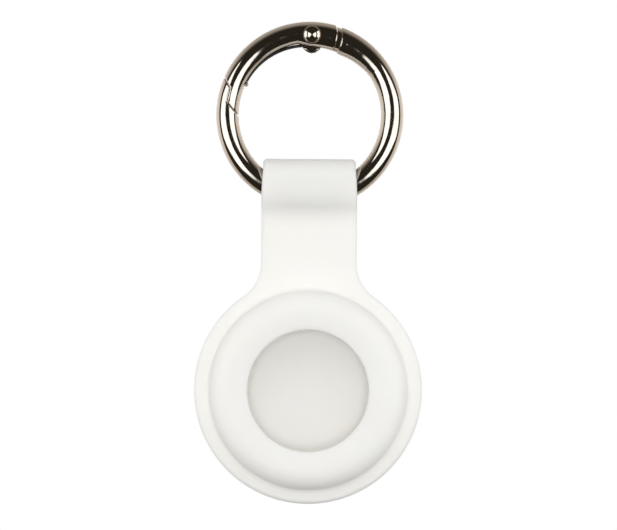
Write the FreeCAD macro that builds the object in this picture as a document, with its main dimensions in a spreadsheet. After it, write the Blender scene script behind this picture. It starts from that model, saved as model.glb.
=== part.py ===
import FreeCAD
import Part
import Sketcher
import math
import os

# A tracker tag holder that hangs from a spring-gate ring.
# The origin is the ring's centre: +X to the right, +Y away from the viewer, +Z up.
# Sizes are in millimetres. Angles are in degrees about the ring's centre, from +X towards +Z.

SIZES = [
    ("ring_outer_diameter", 33.0, "across the outside of the ring"),
    ("wire_diameter", 3.9, "round section of the ring and the gate"),
    ("swell_start_angle", 34.0, "where the ring begins to thicken towards the hinge"),
    ("swell_level_angle", 62.0, "where the ring has its full thickness"),
    ("hinge_swell", 0.72, "thickening of the ring's inner side at the hinge end"),
    ("pivot_angle", 88.8, "place of the rivet round the ring"),
    ("pivot_depth", 2.37, "rivet axis below the ring's outer circle"),
    ("tail_radius", 4.5, "gate's tail, a round end about the rivet"),
    ("tail_arc", 26.0, "arc behind the rivet from which the tail is rounded"),
    ("tail_clearance", 0.12, "play round the gate's tail"),
    ("seam_width", 0.8, "groove between the gate's tail and the ring's shoulder"),
    ("seam_depth", 0.25, "depth of that groove in the ring"),
    ("gate_swell_arc", 11.0, "arc ahead of the rivet where the gate begins to thicken to match the ring"),
    ("gate_level_arc", 2.0, "arc ahead of the rivet where the gate has its full thickness"),
    ("gate_roof", 0.9, "wall that closes the gate's hinge slot on the outside"),
    ("tongue_thickness", 1.4, "tongue of the ring inside the gate's fork"),
    ("tongue_inset", 0.15, "tongue's inner edge above the thickened ring's inner edge"),
    ("tongue_nose", 1.2, "rounding of the tongue's inner edge"),
    ("tongue_root", 0.7, "tongue's buried end inside the ring, past the shoulder"),
    ("side_clearance", 0.1, "play on each side of the tongue and under the gate's roof"),
    ("lobe_radius", 1.77, "round lobe of the tongue below the rivet"),
    ("lobe_drop", 1.41, "lobe's centre below the rivet, towards the ring's centre"),
    ("rivet_pin_diameter", 1.4, "rivet's pin"),
    ("rivet_head_diameter", 2.93, "rivet's rolled heads"),
    ("rivet_head_height", 0.4, "height of a rolled head"),
    ("rivet_sink", 0.05, "head's top below the front of the wire"),
    ("rivet_rim_round", 0.15, "rounded rim of a head"),
    ("rivet_dome_diameter", 1.5, "dome inside the head's rim"),
    ("rivet_groove_width", 0.2, "groove between the rim and the dome"),
    ("rivet_groove_depth", 0.2, "depth of that groove"),
    ("rivet_dimple_diameter", 0.5, "punch mark in the dome"),
    ("rivet_dimple_depth", 0.18, "depth of the punch mark"),
    ("running_clearance", 0.05, "radial play of the gate on the rivet"),
    ("head_clearance", 0.14, "play round a rivet head in its seat"),
    ("slot_arc", 22.2, "gate's deep hinge slot ahead of the rivet"),
    ("channel_depth", 0.6, "gate's spring channel, from the wire's inner side"),
    ("channel_stop", 2.44, "run along the ring from the latch's middle to the end of the spring channel"),
    ("latch_angle", 167.1, "middle of the lap latch"),
    ("latch_reach", 4.32, "run along the ring on each side of the latch for its faces"),
    ("latch_lap", 2.65, "flat length of the lap"),
    ("latch_shift", 0.08, "lap's middle ahead of the latch angle, on the gate's side"),
    ("latch_lift", 0.19, "middle of the gap outside the wire's centre line"),
    ("latch_gap", 0.05, "gap between the latch faces"),
    ("latch_outer_slope", 40.0, "slope of the lap's outer end"),
    ("latch_inner_slope", 53.0, "slope of the lap's inner end"),
    ("edge_round", 0.2, "rounded metal edges"),
    ("spring_thickness", 0.5, "spring strip"),
    ("spring_width", 1.2, "spring strip"),
    ("spring_bow", 0.6, "strip's centre of curvature from the ring's centre"),
    ("spring_bow_share", 0.973, "direction of that centre, part of the way from the rivet to the latch"),
    ("spring_floor_gap", 0.25, "strip's back to the channel's floor"),
    ("spring_root_arc", 4.0, "strip's held end behind the rivet, about its own centre"),
    ("spring_tip_arc", 13.1, "strip's free end short of the latch, about its own centre"),
    ("spring_nub_radius", 0.42, "rolled free end of the strip"),
    ("strap_width", 16.85, "strap and loop"),
    ("strap_thickness", 2.4, "strap and brim"),
    ("strap_run", 6.3, "straight strap between the loop and the rounded corners"),
    ("strap_fillet", 7.06, "rounded corner between the strap and the brim"),
    ("bore_clearance", 0.2, "play of the wire in the loop"),
    ("loop_wall", 1.4, "wall of the loop"),
    ("loop_straight", 1.1, "straight run below the loop's round top, at least"),
    ("loop_grip", 4.28, "straight run down to this far above the bore's bottom, at least"),
    ("loop_blend", 7.5, "length over which the loop narrows to the strap"),
    ("sheet_round_share", 0.333, "rounded edges of the strap, loop and brim, part of their thickness"),
    ("pocket_diameter", 32.2, "room for a tag of 31.9"),
    ("pocket_depth", 8.1, "room for a tag of 8.0"),
    ("pocket_round", 2.6, "rounded edges of the pocket"),
    ("front_wall", 1.7, "pouch in front of the tag, at its crest"),
    ("side_wall", 1.4, "pouch round the tag"),
    ("back_wall", 1.4, "pouch behind the tag"),
    ("bulge_round", 3.6, "rounded shoulders of the pouch"),
    ("brim_width", 2.6, "brim round the pouch"),
    ("window_lip", 5.45, "front wall from the pocket's side in to the window"),
    ("window_dip", 0.45, "window's edge behind the crest of the front"),
    ("lip_round_share", 0.36, "rounded edges of the window, part of the wall there"),
    ("cut_overrun", 1.0, "how far cuts run past the surface"),
]

# Places and sizes that follow from the driving sizes.
WORKED = [
    ("outer_radius", "Sizes.ring_outer_diameter / 2"),
    ("wire_radius", "Sizes.wire_diameter / 2"),
    ("ring_radius", "outer_radius - wire_radius"),
    ("inner_radius", "outer_radius - Sizes.wire_diameter"),
    ("pivot_radius", "outer_radius - Sizes.pivot_depth"),
    ("pivot_x", "pivot_radius * cos(Sizes.pivot_angle)"),
    ("pivot_z", "pivot_radius * sin(Sizes.pivot_angle)"),
    ("lobe_x", "(pivot_radius - Sizes.lobe_drop) * cos(Sizes.pivot_angle)"),
    ("lobe_z", "(pivot_radius - Sizes.lobe_drop) * sin(Sizes.pivot_angle)"),
    ("roof_radius", "outer_radius - Sizes.gate_roof"),
    ("eye_radius", "roof_radius - pivot_radius - Sizes.side_clearance"),
    ("tongue_outer_radius", "roof_radius - Sizes.side_clearance"),
    ("tongue_inner_radius", "inner_radius - Sizes.hinge_swell + Sizes.tongue_inset"),
    ("tongue_half", "Sizes.tongue_thickness / 2"),
    ("tongue_corner", "Sizes.tongue_nose - sqrt(Sizes.tongue_nose ^ 2 - tongue_half ^ 2)"),
    ("tongue_side_radius", "tongue_inner_radius + tongue_corner"),
    ("tail_room", "Sizes.tail_radius + Sizes.tail_clearance"),
    ("shoulder_radius", "Sizes.tail_radius + Sizes.seam_width"),
    ("tongue_arc", "(shoulder_radius + Sizes.tongue_root) / pivot_radius * 180 / pi"),
    ("slot_half", "tongue_half + Sizes.side_clearance"),
    ("tail_start_angle", "Sizes.pivot_angle - Sizes.tail_arc"),
    ("gate_swell_start", "Sizes.pivot_angle + Sizes.gate_swell_arc"),
    ("gate_swell_level", "Sizes.pivot_angle + Sizes.gate_level_arc"),
    ("slot_end_angle", "Sizes.pivot_angle + Sizes.slot_arc"),
    ("channel_end_angle", "Sizes.latch_angle - Sizes.channel_stop / ring_radius * 180 / pi"),
    ("latch_arc", "Sizes.latch_reach / ring_radius * 180 / pi"),
    ("latch_x", "ring_radius * cos(Sizes.latch_angle)"),
    ("latch_z", "ring_radius * sin(Sizes.latch_angle)"),
    ("seat_half", "wire_radius - Sizes.rivet_sink - Sizes.rivet_head_height"),
    ("channel_radius", "inner_radius + Sizes.channel_depth"),
    ("lap_half", "Sizes.latch_lap / 2"),
    ("gate_flat", "Sizes.latch_lift - Sizes.latch_gap / 2"),
    ("ring_flat", "Sizes.latch_lift + Sizes.latch_gap / 2"),
    ("outer_step", "Sizes.latch_gap * tan(Sizes.latch_outer_slope / 2)"),
    ("inner_step", "Sizes.latch_gap * tan(Sizes.latch_inner_slope / 2)"),
    ("spring_half", "Sizes.spring_thickness / 2"),
    ("spring_radius", "channel_radius - Sizes.spring_floor_gap - spring_half - Sizes.spring_bow"),
    ("nub_radius", "spring_radius + spring_half - Sizes.spring_nub_radius"),
    ("gate_arc", "Sizes.latch_angle - Sizes.pivot_angle"),
    ("spring_bow_angle", "Sizes.pivot_angle + Sizes.spring_bow_share * gate_arc"),
    ("spring_x", "Sizes.spring_bow * cos(spring_bow_angle)"),
    ("spring_z", "Sizes.spring_bow * sin(spring_bow_angle)"),
    ("spring_tip_angle", "Sizes.latch_angle - Sizes.spring_tip_arc"),
    ("spring_sweep", "spring_tip_angle - Sizes.pivot_angle + Sizes.spring_root_arc"),
    ("strap_half", "Sizes.strap_width / 2"),
    ("sheet_half", "Sizes.strap_thickness / 2"),
    ("bore_half", "wire_radius + Sizes.bore_clearance"),
    ("bore_top", "-sqrt(inner_radius ^ 2 - strap_half ^ 2) + Sizes.bore_clearance"),
    ("bore_bottom", "-outer_radius - Sizes.bore_clearance"),
    ("loop_half", "bore_half + Sizes.loop_wall"),
    ("loop_top", "bore_top + Sizes.loop_wall"),
    ("loop_shoulder", "loop_top - loop_half"),
    ("loop_waist", "min(loop_shoulder - Sizes.loop_straight; bore_bottom + Sizes.loop_grip)"),
    ("strap_top", "loop_waist - Sizes.loop_blend"),
    ("blend_side", "loop_half - sheet_half"),
    ("blend_radius", "(blend_side ^ 2 + Sizes.loop_blend ^ 2) / (4 * blend_side)"),
    ("pocket_radius", "Sizes.pocket_diameter / 2"),
    ("pocket_half", "Sizes.pocket_depth / 2"),
    ("bulge_radius", "pocket_radius + Sizes.side_wall"),
    ("brim_radius", "bulge_radius + Sizes.brim_width"),
    ("fillet_x", "strap_half + Sizes.strap_fillet"),
    ("fillet_z", "sqrt((brim_radius + Sizes.strap_fillet) ^ 2 - fillet_x ^ 2)"),
    ("brim_share", "brim_radius / (brim_radius + Sizes.strap_fillet)"),
    ("corner_z", "strap_top - Sizes.strap_run"),
    ("pouch_z", "corner_z - fillet_z"),
    ("crest_radius", "bulge_radius - Sizes.bulge_round"),
    ("window_radius", "pocket_radius - Sizes.window_lip"),
    ("front_y", "-pocket_half - Sizes.front_wall"),
    ("back_y", "pocket_half + Sizes.back_wall"),
    ("crest_run", "crest_radius - window_radius"),
    ("dip_radius", "(crest_run ^ 2 + Sizes.window_dip ^ 2) / (2 * Sizes.window_dip)"),
]


def fill_sheet(sheet, rows):
    """One row per size: its name, its value or formula, and what it measures."""
    for number, row in enumerate(rows, start=1):
        sheet.set(f"A{number}", row[0])
        sheet.set(f"B{number}", row[1])
        sheet.setAlias(f"B{number}", row[0])
        sheet.set(f"C{number}", row[2])


doc = FreeCAD.newDocument("TagHolder")
sizes = doc.addObject("Spreadsheet::Sheet", "Sizes")
fill_sheet(sizes, [(name, str(value), meaning) for name, value, meaning in SIZES])
worked = doc.addObject("Spreadsheet::Sheet", "Worked")
fill_sheet(worked, [(name, "=" + formula, "") for name, formula in WORKED])
doc.recompute()


def worked_out(formula):
    """The number that a formula gives now."""
    number = sizes.evalExpression(formula)
    return float(getattr(number, "Value", number))


def alike(one, other):
    """Whether two lengths are the same."""
    return abs(one - other) < FreeCAD.Base.Precision.approximation()


def new_body(label):
    """An empty body for one piece of the object."""
    body = doc.addObject("PartDesign::Body", label)
    body.Label = label
    return body


def origin(body):
    """The body's own planes and axes by their roles."""
    return {feature.Role: feature for feature in body.Origin.OriginFeatures}


def new_sketch(body, name, plane, shift=("0", "0", "0"), turn="0", about=(0, 0, 1)):
    """A sketch on one of the body's own planes, shifted and turned by formulas."""
    sketch = body.newObject("Sketcher::SketchObject", name)
    sketch.AttachmentSupport = [(origin(body)[plane], "")]
    sketch.MapMode = "FlatFace"
    place = FreeCAD.Vector(*[worked_out(formula) for formula in shift])
    rotation = FreeCAD.Rotation(FreeCAD.Vector(*about), worked_out(turn))
    sketch.AttachmentOffset = FreeCAD.Placement(place, rotation)
    for axis, formula in zip("xyz", shift):
        sketch.setExpression(f"AttachmentOffset.Base.{axis}", formula)
    sketch.setExpression("AttachmentOffset.Rotation.Angle", turn)
    return sketch


def radial_sketch(body, name, angle):
    """A sketch across the ring at an angle: x runs outwards from the ring's centre, y along +Y."""
    return new_sketch(body, name, "XY_Plane", turn=angle, about=(0, -1, 0))


def bind(sketch, kind, formula, *ends):
    """A dimension of a sketch that follows a formula."""
    index = sketch.addConstraint(Sketcher.Constraint(kind, *ends, worked_out(formula)))
    sketch.setExpression(f"Constraints[{index}]", formula)


def pin_point(sketch, curve, end, corner):
    """Holds one end of a curve at a pair of formulas."""
    bind(sketch, "DistanceX", corner[0], -1, 1, curve, end)
    bind(sketch, "DistanceY", corner[1], -1, 1, curve, end)


def arc_between(start, end, radius, bend):
    """The arc of under half a circle from start to end. It turns left where bend is 1, right where -1."""
    chord = end - start
    across = FreeCAD.Vector(-chord.y, chord.x, 0).normalize()
    height = math.sqrt(max(radius ** 2 - (chord.Length / 2) ** 2, 0))
    centre = (start + end) / 2 + across * height * bend
    middle = centre - across * radius * bend
    return Part.Arc(start, middle, end)


def outline(sketch, corners):
    """A closed outline. A corner is a pair of formulas, and a third and fourth item make the
    stretch that follows it an arc of that radius, to the left (1) or to the right (-1)."""
    points = [FreeCAD.Vector(worked_out(c[0]), worked_out(c[1]), 0) for c in corners]
    stretches = []
    for number, corner in enumerate(corners):
        start = points[number]
        end = points[(number + 1) % len(points)]
        first, last = 1, 2
        if len(corner) == 2:
            curve = Part.LineSegment(start, end)
        else:
            curve = arc_between(start, end, worked_out(corner[2]), corner[3])
            if corner[3] < 0:
                first, last = 2, 1
        stretches.append((sketch.addGeometry(curve, False), first, last))
    following = stretches[1:] + stretches[:1]
    for (curve, first, last), (next_curve, next_first, next_last) in zip(stretches, following):
        sketch.addConstraint(Sketcher.Constraint("Coincident", curve, last, next_curve, next_first))
    for (curve, first, last), corner in zip(stretches, corners):
        pin_point(sketch, curve, first, corner)
    for (curve, first, last), corner in zip(stretches, corners):
        if len(corner) > 2:
            bind(sketch, "Radius", corner[2], curve)
    return sketch


def rectangle(sketch, left, right, low, high):
    """A rectangle between four formulas."""
    return outline(sketch, [(left, low), (right, low), (right, high), (left, high)])


def circle(sketch, x, y, radius):
    """A circle whose centre and radius are formulas."""
    centre = FreeCAD.Vector(worked_out(x), worked_out(y), 0)
    shape = Part.Circle(centre, FreeCAD.Vector(0, 0, 1), worked_out(radius))
    curve = sketch.addGeometry(shape, False)
    pin_point(sketch, curve, 3, (x, y))
    bind(sketch, "Radius", radius, curve)
    return sketch


def ellipse(sketch, x, half_x, half_y):
    """An ellipse that is longer in x, with its centre on the x axis."""
    centre = FreeCAD.Vector(worked_out(x), 0, 0)
    long_end = centre + FreeCAD.Vector(worked_out(half_x), 0, 0)
    short_end = centre + FreeCAD.Vector(0, worked_out(half_y), 0)
    curve = sketch.addGeometry(Part.Ellipse(long_end, short_end, centre), False)
    sketch.exposeInternalGeometry(curve)
    long_axis = curve + 1
    short_axis = curve + 2
    pin_point(sketch, curve, 3, (x, "0"))
    sketch.addConstraint(Sketcher.Constraint("Horizontal", long_axis))
    bind(sketch, "Distance", f"2 * ({half_x})", long_axis)
    bind(sketch, "Distance", f"2 * ({half_y})", short_axis)
    return sketch


def through(body, kind, sketch, depth):
    """A pad or pocket that reaches as far to one side of its sketch as to the other."""
    feature = body.newObject("PartDesign::" + kind, kind + "_" + sketch.Name)
    feature.Profile = sketch
    feature.SideType = "Symmetric"
    feature.setExpression("Length", depth)
    doc.recompute()
    return feature


def turned(body, kind, sketch, axis, sweep):
    """A revolution or groove that turns its sketch about an axis, positive about that axis."""
    feature = body.newObject("PartDesign::" + kind, kind + "_" + sketch.Name)
    feature.Profile = sketch
    feature.ReferenceAxis = axis
    feature.setExpression("Angle", sweep)
    doc.recompute()
    return feature


def ring_axis(body):
    """The ring's own axis, along +Y."""
    return (origin(body)["Y_Axis"], [""])


def rounded(body, wanted, radius):
    """Rounds the edges of the body so far that wanted() picks."""
    base = body.Tip
    names = [f"Edge{number}" for number, edge in enumerate(base.Shape.Edges, start=1) if wanted(edge)]
    feature = body.newObject("PartDesign::Fillet", "Round_" + base.Name)
    feature.Base = (base, names)
    feature.setExpression("Radius", radius)
    doc.recompute()
    return feature


def on_cut_end(body, end_radius):
    """Picks the edges where the latch's faces, or the round end about the rivet, meet the wire's surface."""
    faces = body.Tip.Shape.Faces
    flats = [face for face in faces if isinstance(face.Surface, Part.Plane)]
    rounds = [face for face in faces if isinstance(face.Surface, Part.Cylinder)]
    wire = [face for face in faces if not isinstance(face.Surface, (Part.Plane, Part.Cylinder))]
    latch = FreeCAD.Vector(worked_out("Worked.latch_x"), 0, worked_out("Worked.latch_z"))
    cuts = [face for face in rounds if alike(face.Surface.Radius, worked_out(end_radius))]
    for face in flats:
        near = face.CenterOfMass.distanceToPoint(latch) < worked_out("Sizes.wire_diameter")
        channel_end = alike(face.BoundBox.YLength, worked_out("2 * Worked.slot_half"))
        if near and not channel_end and alike(face.Surface.Axis.y, 0):
            cuts.append(face)

    def belongs(edge, group):
        return any(edge.isSame(other) for face in group for other in face.Edges)

    return lambda edge: belongs(edge, cuts) and belongs(edge, wire)


def latch_sketch(body, name):
    """A sketch at the latch: x runs along the ring towards the gate, y outwards."""
    place = ("Worked.latch_x", "Worked.latch_z", "0")
    return new_sketch(body, name, "XZ_Plane", place, "Sizes.latch_angle - 90")


def pivot_sketch(body, name):
    """A sketch in the ring's plane about the rivet's axis."""
    return new_sketch(body, name, "XZ_Plane", ("Worked.pivot_x", "Worked.pivot_z", "0"))


def swollen(sketch, inset="0"):
    """The thickened section of the ring: an ellipse that is inset from the ring's outer circle."""
    return ellipse(sketch, "Worked.ring_radius - Sizes.hinge_swell / 2",
                   f"Worked.wire_radius + Sizes.hinge_swell / 2 - {inset}",
                   f"Worked.wire_radius - {inset}")


def add_swell(body, low, high, profile, section):
    """A stretch of the ring between two angles over which its profile passes into another section."""
    spine = new_sketch(body, "swell_path", "XZ_Plane")
    ends = [(f"Worked.ring_radius * cos({a})", f"Worked.ring_radius * sin({a})") for a in (low, high)]
    points = [FreeCAD.Vector(worked_out(x), worked_out(y), 0) for x, y in ends]
    arc = arc_between(points[0], points[1], worked_out("Worked.ring_radius"), 1)
    curve = spine.addGeometry(arc, False)
    pin_point(spine, curve, 1, ends[0])
    pin_point(spine, curve, 2, ends[1])
    bind(spine, "Radius", "Worked.ring_radius", curve)
    doc.recompute()
    swelling = body.newObject("PartDesign::AdditivePipe", "Pipe_swell")
    swelling.Profile = profile
    swelling.Spine = (spine, ["Edge1"])
    swelling.Transformation = "Multisection"
    swelling.Sections = [section]
    doc.recompute()


def make_ring_body():
    """The C-shaped ring, with the hinge tongue at one end and the outer half of the latch at the other."""
    body = new_body("ring_body")
    start = radial_sketch(body, "ring_section", "Sizes.swell_start_angle")
    circle(start, "Worked.ring_radius", "0", "Worked.wire_radius")
    turned(body, "Revolution", start, ring_axis(body),
           "360 + Sizes.swell_start_angle - Sizes.latch_angle + Worked.latch_arc")

    # The end towards the hinge thickens inwards, then goes on level to the rivet.
    level = swollen(radial_sketch(body, "swell_level", "Sizes.swell_level_angle"))
    add_swell(body, "Sizes.swell_start_angle", "Sizes.swell_level_angle", start, level)
    end = swollen(radial_sketch(body, "swell_end", "Sizes.pivot_angle"))
    turned(body, "Revolution", end, ring_axis(body), "Sizes.pivot_angle - Sizes.swell_level_angle")

    # Hollow shoulder round the gate's tail.
    shoulder = circle(pivot_sketch(body, "shoulder"), "0", "0", "Worked.shoulder_radius")
    through(body, "Pocket", shoulder, "2 * Sizes.wire_diameter")

    # Outer half of the lap latch: what lies on the gate's side of its faces is cut away.
    near = "Worked.lap_half + Sizes.latch_shift - Worked.outer_step"
    far = "-Worked.lap_half + Sizes.latch_shift - Worked.inner_step"
    reach = "2 * Sizes.wire_diameter"
    latch = outline(latch_sketch(body, "latch_room"), [
        (near, "Worked.ring_flat"),
        (far, "Worked.ring_flat"),
        (f"{far} - ({reach} + Worked.ring_flat) / tan(Sizes.latch_inner_slope)", f"-{reach}"),
        (f"2 * {reach}", f"-{reach}"),
        (f"2 * {reach}", reach),
        (f"{near} + ({reach} - Worked.ring_flat) / tan(Sizes.latch_outer_slope)", reach),
    ])
    through(body, "Pocket", latch, reach)
    rounded(body, on_cut_end(body, "Worked.shoulder_radius"), "Sizes.edge_round")

    # Neck at the bottom of the seam, hollow round the gate's tail.
    neck = swollen(radial_sketch(body, "neck_section", "Sizes.pivot_angle"), "Sizes.seam_depth")
    turned(body, "Revolution", neck, ring_axis(body), "Worked.tongue_arc")
    room = circle(pivot_sketch(body, "tail_room"), "0", "0", "Worked.tail_room")
    through(body, "Pocket", room, "2 * Sizes.wire_diameter")

    # Tongue: an arm along the ring, an eye round the rivet and the lobe below it.
    arm = outline(radial_sketch(body, "tongue_arm", "Sizes.pivot_angle"), [
        ("Worked.tongue_outer_radius", "-Worked.tongue_half"),
        ("Worked.tongue_outer_radius", "Worked.tongue_half"),
        ("Worked.tongue_side_radius", "Worked.tongue_half", "Sizes.tongue_nose", 1),
        ("Worked.tongue_side_radius", "-Worked.tongue_half"),
    ])
    turned(body, "Revolution", arm, ring_axis(body), "Worked.tongue_arc")
    eye = circle(pivot_sketch(body, "tongue_eye"), "0", "0", "Worked.eye_radius")
    through(body, "Pad", eye, "Sizes.tongue_thickness")
    lobe = new_sketch(body, "tongue_lobe", "XZ_Plane", ("Worked.lobe_x", "Worked.lobe_z", "0"))
    circle(lobe, "0", "0", "Sizes.lobe_radius")
    through(body, "Pad", lobe, "Sizes.tongue_thickness")
    hole = circle(pivot_sketch(body, "rivet_hole"), "0", "0", "Sizes.rivet_pin_diameter / 2")
    through(body, "Pocket", hole, "2 * Sizes.wire_diameter")

    # Slit in the lobe that holds the spring strip.
    slit = spring_section(body, "spring_slit", "Worked.spring_tip_angle", "2 * Sizes.wire_diameter")
    turned(body, "Groove", slit, (slit, ["V_Axis"]), "Worked.spring_sweep")
    return body


def spring_section(body, name, angle, width):
    """The strip's section at an angle about its own centre: x runs outwards, y along +Y."""
    place = ("Worked.spring_x", "0", "Worked.spring_z")
    sketch = new_sketch(body, name, "XY_Plane", place, angle, (0, -1, 0))
    return rectangle(sketch, "Worked.spring_radius - Worked.spring_half",
                     "Worked.spring_radius + Worked.spring_half",
                     f"-({width}) / 2", f"({width}) / 2")


def make_gate():
    """The moving part of the ring, forked over the tongue, with the inner half of the latch."""
    body = new_body("gate")
    section = radial_sketch(body, "gate_section", "Sizes.latch_angle + Worked.latch_arc")
    circle(section, "Worked.ring_radius", "0", "Worked.wire_radius")
    turned(body, "Revolution", section, ring_axis(body),
           "Sizes.latch_angle + Worked.latch_arc - Worked.gate_swell_start")

    # The gate thickens to the ring's own thickness at the rivet, and goes on level to its tail.
    slim = radial_sketch(body, "gate_slim", "Worked.gate_swell_start")
    circle(slim, "Worked.ring_radius", "0", "Worked.wire_radius")
    full = swollen(radial_sketch(body, "gate_full", "Worked.gate_swell_level"))
    add_swell(body, "Worked.gate_swell_level", "Worked.gate_swell_start", full, slim)
    turned(body, "Revolution", full, ring_axis(body), "Worked.gate_swell_level - Worked.tail_start_angle")

    # Round tail about the rivet.
    past = "2 * Sizes.tail_radius"
    tail = outline(pivot_sketch(body, "gate_tail"), [
        ("0", "-Sizes.tail_radius", "Sizes.tail_radius", 1),
        ("Sizes.tail_radius", "0", "Sizes.tail_radius", 1),
        ("0", "Sizes.tail_radius"),
        (past, "Sizes.tail_radius"),
        (past, "-Sizes.tail_radius"),
    ])
    through(body, "Pocket", tail, "2 * Sizes.wire_diameter")

    # Inner half of the lap latch: what lies on the ring's side of its faces is cut away.
    near = "Worked.lap_half + Sizes.latch_shift"
    far = "-Worked.lap_half + Sizes.latch_shift"
    reach = "2 * Sizes.wire_diameter"
    latch = outline(latch_sketch(body, "latch_hook"), [
        (near, "Worked.gate_flat"),
        (f"{near} + ({reach} - Worked.gate_flat) / tan(Sizes.latch_outer_slope)", reach),
        (f"-2 * {reach}", reach),
        (f"-2 * {reach}", f"-{reach}"),
        (f"{far} - ({reach} + Worked.gate_flat) / tan(Sizes.latch_inner_slope)", f"-{reach}"),
        (far, "Worked.gate_flat"),
    ])
    through(body, "Pocket", latch, reach)

    # Deep slot for the tongue, then a shallow channel for the spring.
    slot = rectangle(radial_sketch(body, "tongue_slot", "Worked.slot_end_angle"),
                     "Worked.inner_radius - Sizes.cut_overrun", "Worked.roof_radius",
                     "-Worked.slot_half", "Worked.slot_half")
    turned(body, "Groove", slot, ring_axis(body), "Worked.slot_end_angle - Worked.tail_start_angle")
    channel = rectangle(radial_sketch(body, "spring_channel", "Worked.channel_end_angle"),
                        "Worked.inner_radius - Sizes.cut_overrun", "Worked.channel_radius",
                        "-Worked.slot_half", "Worked.slot_half")
    turned(body, "Groove", channel, ring_axis(body), "Worked.channel_end_angle - Sizes.pivot_angle")

    # Rivet hole and a flat seat for each head.
    seat = "Sizes.rivet_head_diameter / 2 + Sizes.head_clearance"
    pin = "Sizes.rivet_pin_diameter / 2 + Sizes.running_clearance"
    top = "Worked.wire_radius + Sizes.cut_overrun"
    place = ("Worked.pivot_x", "0", "Worked.pivot_z")
    bore = outline(new_sketch(body, "rivet_bore", "XY_Plane", place), [
        ("0", f"-({top})"),
        (seat, f"-({top})"),
        (seat, "-Worked.seat_half"),
        (pin, "-Worked.seat_half"),
        (pin, "Worked.seat_half"),
        (seat, "Worked.seat_half"),
        (seat, top),
        ("0", top),
    ])
    turned(body, "Groove", bore, (bore, ["V_Axis"]), "360")
    rounded(body, on_cut_end(body, "Sizes.tail_radius"), "Sizes.edge_round")
    return body


def make_hinge_rivet():
    """A pin with two rolled heads, each with a rounded rim, a groove, a low dome and a punch mark."""
    body = new_body("hinge_rivet")
    pin = "Sizes.rivet_pin_diameter / 2"
    head = "Sizes.rivet_head_diameter / 2"
    dome = "Sizes.rivet_dome_diameter / 2"
    seat = "Worked.seat_half + Sizes.running_clearance"
    crown = "Worked.seat_half + Sizes.rivet_head_height"
    half = outline(new_sketch(body, "rivet_half", "XY_Plane"), [
        ("0", "0"),
        (pin, "0"),
        (pin, seat),
        (head, seat),
        (head, f"{crown} - Sizes.rivet_rim_round", "Sizes.rivet_rim_round", 1),
        (f"{head} - Sizes.rivet_rim_round", crown),
        (f"{dome} + Sizes.rivet_groove_width", f"{crown} - Sizes.rivet_groove_depth"),
        (dome, f"{crown} - Sizes.rivet_groove_depth"),
        ("Sizes.rivet_dimple_diameter / 2", crown),
        ("0", f"{crown} - Sizes.rivet_dimple_depth"),
    ])
    one_half = turned(body, "Revolution", half, (half, ["V_Axis"]), "360")
    both = body.newObject("PartDesign::Mirrored", "Mirrored_rivet_half")
    both.Originals = [one_half]
    both.MirrorPlane = (origin(body)["XZ_Plane"], [""])
    body.Tip = both
    body.setExpression("Placement.Base.x", "Worked.pivot_x")
    body.setExpression("Placement.Base.z", "Worked.pivot_z")
    doc.recompute()
    return body


def make_gate_spring():
    """A flat strip bowed into the gate's channel, with a rolled free end."""
    body = new_body("gate_spring")
    strip = spring_section(body, "spring_strip", "Worked.spring_tip_angle", "Sizes.spring_width")
    turned(body, "Revolution", strip, (strip, ["V_Axis"]), "Worked.spring_sweep")
    place = ("Worked.spring_x + Worked.nub_radius * cos(Worked.spring_tip_angle)",
             "Worked.spring_z + Worked.nub_radius * sin(Worked.spring_tip_angle)", "0")
    nub = circle(new_sketch(body, "spring_nub", "XZ_Plane", place), "0", "0", "Sizes.spring_nub_radius")
    through(body, "Pad", nub, "Sizes.spring_width")
    return body


def on_outline(edge):
    """Edges of the strap, brim and loop that are rounded: all but the ones straight across the strap."""
    box = edge.BoundBox
    flat = alike(box.YLength, 0) and alike(abs(box.YMin), worked_out("Worked.sheet_half"))
    across = alike(box.ZLength, 0)
    strap_top = worked_out("Worked.strap_top")
    beside = alike(box.XLength, 0) and box.ZMax > strap_top and not alike(box.ZMax, strap_top)
    return beside or (flat and not across)


def on_lip(edge):
    """The two edges of the window."""
    window_radius = worked_out("Worked.window_radius")
    return isinstance(edge.Curve, Part.Circle) and alike(edge.Curve.Radius, window_radius)


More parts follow.
